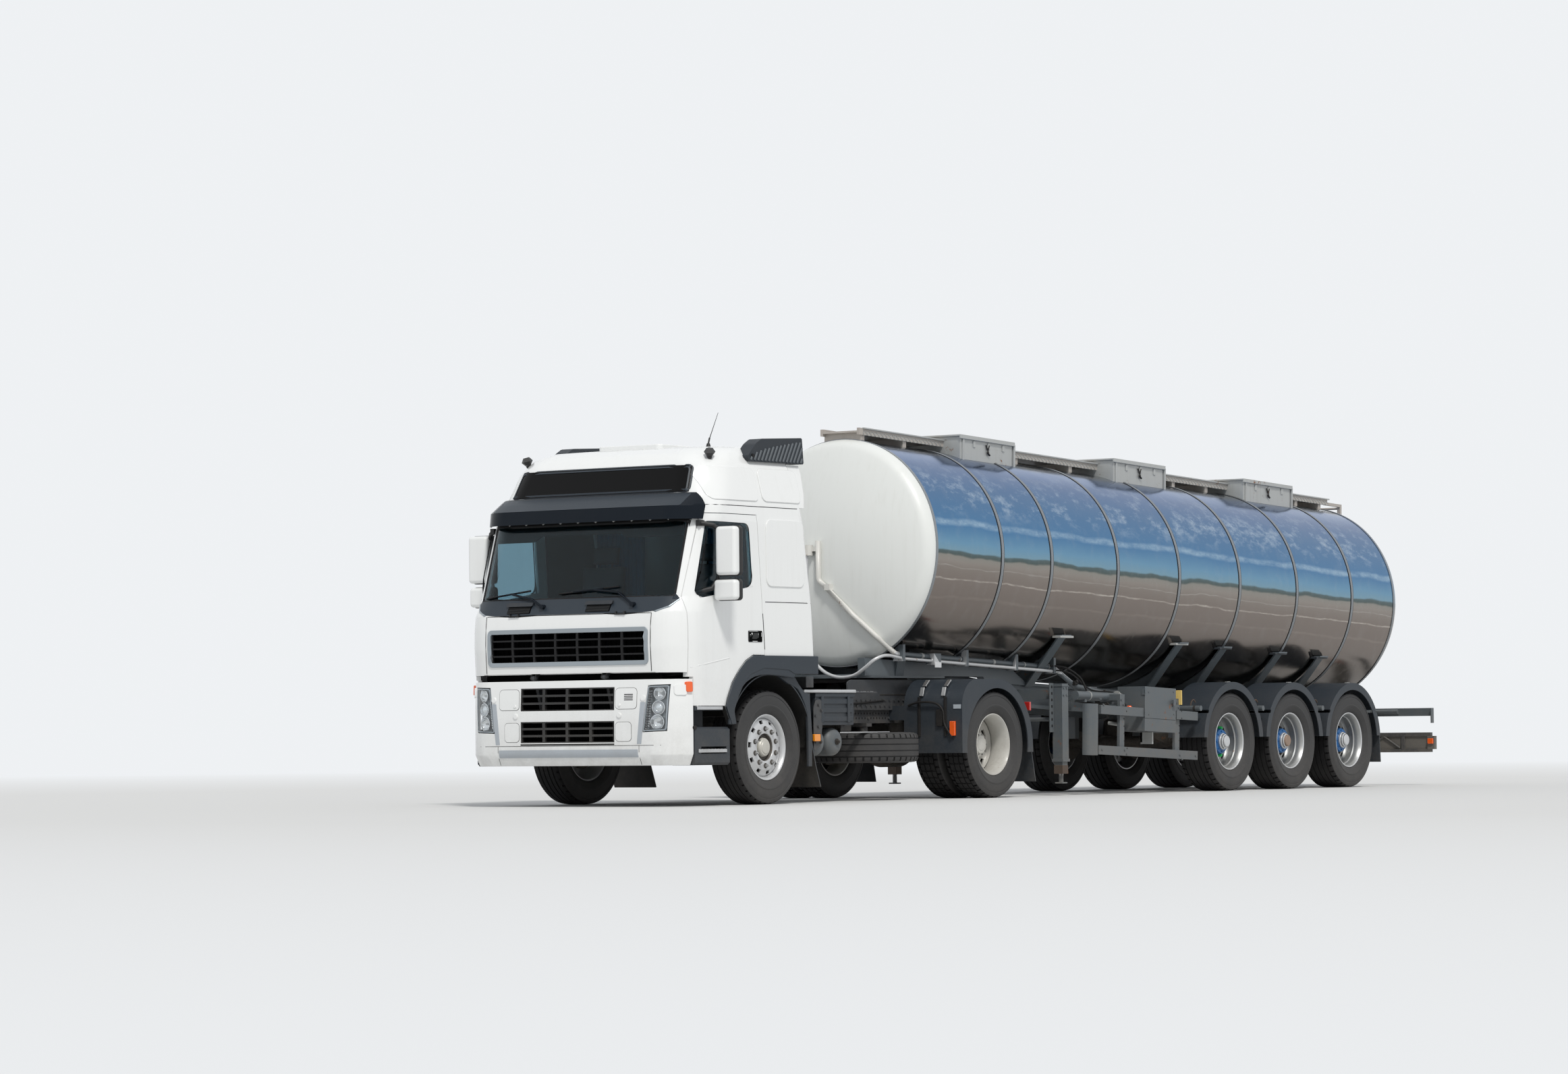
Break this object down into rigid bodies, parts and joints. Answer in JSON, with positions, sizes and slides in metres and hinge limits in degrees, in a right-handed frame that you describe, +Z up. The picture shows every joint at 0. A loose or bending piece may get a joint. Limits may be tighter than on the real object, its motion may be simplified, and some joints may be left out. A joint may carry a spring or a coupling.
{
  "type": "articulated tanker lorry",
  "caption": "Tractor with sleeper cab hinged to a tank semi-trailer with walkway, side guards and mudguards; wheels, steering, cab, doors and lids move.",
  "frame": {"origin": "on the ground in the middle of the lorry's length, on its middle line", "axes": "+X forward, +Y to the lorry's left, +Z up"},
  "size_m": [14.4188, 3.044, 3.6017],
  "materials": {
    "aluminium": "satin",
    "black_plastic": "matt",
    "blue_grey_paint": "satin",
    "blue_grey_plastic": "satin",
    "cast_metal": "matt",
    "dark_frame": "matt, dusty",
    "grey_steel": "satin, dusty",
    "lamp_glass": "clear",
    "polished_steel": "polished",
    "tyre": "matt, dusty",
    "upholstery": "woven",
    "white_paint": "gloss",
    "window_glass": "clear, tinted"
  },
  "bodies": {
    "tractor": {"tractor_frame": "dark_frame", "front_axle": "cast_metal", "drive_axle": "cast_metal", "powertrain": "cast_metal", "fifth_wheel": "cast_metal", "fuel_tank": "aluminium", "silencer": "cast_metal", "battery_box": "blue_grey_plastic", "air_tanks": "blue_grey_paint", "spare_wheel": "tyre", "front_bumper": "white_paint", "bumper_grilles": "black_plastic", "tractor_lamps": "lamp_glass", "cab_steps": "blue_grey_plastic", "front_mudguards": "black_plastic", "drive_mudguards": "blue_grey_plastic"},
    "cab": {"cab_shell": "white_paint", "cab_cowl": "black_plastic", "windscreen": "window_glass", "roof_front_panel": "blue_grey_plastic", "sun_visor": "blue_grey_plastic", "arch_trims": "blue_grey_plastic", "roof_deflectors": "blue_grey_plastic", "dashboard": "black_plastic", "seats_and_bunk": "upholstery"},
    "hatch": {"front_hatch": "white_paint", "upper_grille": "black_plastic"},
    "tie_rod": {"tie_rod": "cast_metal"},
    "trailer": {"tank": "polished_steel", "trailer_frame": "blue_grey_paint", "walkway": "grey_steel", "landing_legs": "dark_frame", "side_guards": "blue_grey_paint", "valve_cabinet": "blue_grey_paint", "tank_pipes": "blue_grey_paint", "trailer_axles": "cast_metal", "trailer_mudguards": "blue_grey_plastic", "rear_bumper": "dark_frame"},
    "cabinet_door": {"cabinet_door": "blue_grey_paint"},
    "door_left": {"door_left": "white_paint", "door_glass_left": "window_glass", "mirrors_left": "white_paint"},
    "knuckle_left": {"knuckle_left": "cast_metal"},
    "front_wheel_left": {"front_wheel_left": "tyre"},
    "drive_wheels_left": {"drive_wheels_left": "tyre"},
    "trailer_wheel_1_left": {"trailer_wheel_1_left": "tyre"},
    "trailer_wheel_2_left": {"trailer_wheel_2_left": "tyre"},
    "trailer_wheel_3_left": {"trailer_wheel_3_left": "tyre"},
    "door_right": {"door_right": "white_paint", "door_glass_right": "window_glass", "mirrors_right": "white_paint"},
    "knuckle_right": {"knuckle_right": "cast_metal"},
    "front_wheel_right": {"front_wheel_right": "tyre"},
    "drive_wheels_right": {"drive_wheels_right": "tyre"},
    "trailer_wheel_1_right": {"trailer_wheel_1_right": "tyre"},
    "trailer_wheel_2_right": {"trailer_wheel_2_right": "tyre"},
    "trailer_wheel_3_right": {"trailer_wheel_3_right": "tyre"},
    "hatch_lid_1": {"hatch_lid_1": "grey_steel"},
    "hatch_lid_2": {"hatch_lid_2": "grey_steel"},
    "hatch_lid_3": {"hatch_lid_3": "grey_steel"}
  },
  "joints": [
    {"name": "cab_tilt", "type": "hinge", "parent": "tractor", "child": "cab", "pos_m": [7.16059, 0, 1.16], "axis": [0, 1, 0], "range_deg": [0, 60]},
    {"name": "front_hatch_hinge", "type": "hinge", "parent": "cab", "child": "hatch", "pos_m": [7.19459, 0, 1.719], "axis": [0, -1, 0], "range_deg": [0, 70]},
    {"name": "door_left_hinge", "type": "hinge", "parent": "cab", "child": "door_left", "pos_m": [6.99259, 1.214, 1.5], "axis": [0, 0, -1], "range_deg": [0, 80]},
    {"name": "door_right_hinge", "type": "hinge", "parent": "cab", "child": "door_right", "pos_m": [6.99259, -1.214, 1.5], "axis": [0, 0, 1], "range_deg": [0, 80]},
    {"name": "steer_left", "type": "hinge", "parent": "tractor", "child": "knuckle_left", "pos_m": [5.73059, 0.88, 0.518], "axis": [0, 0, 1], "range_deg": [-40, 40]},
    {"name": "steer_right", "type": "hinge", "parent": "tractor", "child": "knuckle_right", "pos_m": [5.73059, -0.88, 0.518], "axis": [0, 0, 1], "range_deg": [-40, 40]},
    {"name": "tie_rod_end", "type": "hinge", "parent": "knuckle_left", "child": "tie_rod", "pos_m": [5.54059, 0.88, 0.46], "axis": [0, 0, 1], "range_deg": [-40, 40]},
    {"name": "trailer_yaw", "type": "hinge", "parent": "tractor", "child": "trailer", "pos_m": [2.58059, 0, 1.17], "axis": [0, 0, 1], "range_deg": [-90, 90]},
    {"name": "front_wheel_left_spin", "type": "hinge", "parent": "knuckle_left", "child": "front_wheel_left", "pos_m": [5.73059, 1.02, 0.518], "axis": [0, 1, 0], "continuous": true},
    {"name": "drive_wheels_left_spin", "type": "hinge", "parent": "tractor", "child": "drive_wheels_left", "pos_m": [2.03459, 0.93, 0.518], "axis": [0, 1, 0], "continuous": true},
    {"name": "trailer_wheel_1_left_spin", "type": "hinge", "parent": "trailer", "child": "trailer_wheel_1_left", "pos_m": [-2.61241, 1.025, 0.518], "axis": [0, 1, 0], "continuous": true},
    {"name": "trailer_wheel_2_left_spin", "type": "hinge", "parent": "trailer", "child": "trailer_wheel_2_left", "pos_m": [-3.92341, 1.025, 0.518], "axis": [0, 1, 0], "continuous": true},
    {"name": "trailer_wheel_3_left_spin", "type": "hinge", "parent": "trailer", "child": "trailer_wheel_3_left", "pos_m": [-5.23441, 1.025, 0.518], "axis": [0, 1, 0], "continuous": true},
    {"name": "front_wheel_right_spin", "type": "hinge", "parent": "knuckle_right", "child": "front_wheel_right", "pos_m": [5.73059, -1.02, 0.518], "axis": [0, 1, 0], "continuous": true},
    {"name": "drive_wheels_right_spin", "type": "hinge", "parent": "tractor", "child": "drive_wheels_right", "pos_m": [2.03459, -0.93, 0.518], "axis": [0, 1, 0], "continuous": true},
    {"name": "trailer_wheel_1_right_spin", "type": "hinge", "parent": "trailer", "child": "trailer_wheel_1_right", "pos_m": [-2.61241, -1.025, 0.518], "axis": [0, 1, 0], "continuous": true},
    {"name": "trailer_wheel_2_right_spin", "type": "hinge", "parent": "trailer", "child": "trailer_wheel_2_right", "pos_m": [-3.92341, -1.025, 0.518], "axis": [0, 1, 0], "continuous": true},
    {"name": "trailer_wheel_3_right_spin", "type": "hinge", "parent": "trailer", "child": "trailer_wheel_3_right", "pos_m": [-5.23441, -1.025, 0.518], "axis": [0, 1, 0], "continuous": true},
    {"name": "hatch_lid_1_hinge", "type": "hinge", "parent": "trailer", "child": "hatch_lid_1", "pos_m": [0.87667, -0.43, 3.55904], "axis": [0.9992, 0, 0.0387], "range_deg": [0, 110]},
    {"name": "hatch_lid_2_hinge", "type": "hinge", "parent": "trailer", "child": "hatch_lid_2", "pos_m": [-2.07611, -0.43, 3.44457], "axis": [0.9992, 0, 0.0387], "range_deg": [0, 110]},
    {"name": "hatch_lid_3_hinge", "type": "hinge", "parent": "trailer", "child": "hatch_lid_3", "pos_m": [-4.81905, -0.43, 3.33824], "axis": [0.9992, 0, 0.0387], "range_deg": [0, 110]},
    {"name": "cabinet_door_hinge", "type": "hinge", "parent": "trailer", "child": "cabinet_door", "pos_m": [-0.85036, 1.209, 0.92786], "axis": [0.0387, 0, -0.9992], "range_deg": [0, 100]}
  ],
  "couplings": [
    {"joint": "steer_right", "follows": "steer_left", "ratio": 1},
    {"joint": "tie_rod_end", "follows": "steer_left", "ratio": -1}
  ]
}
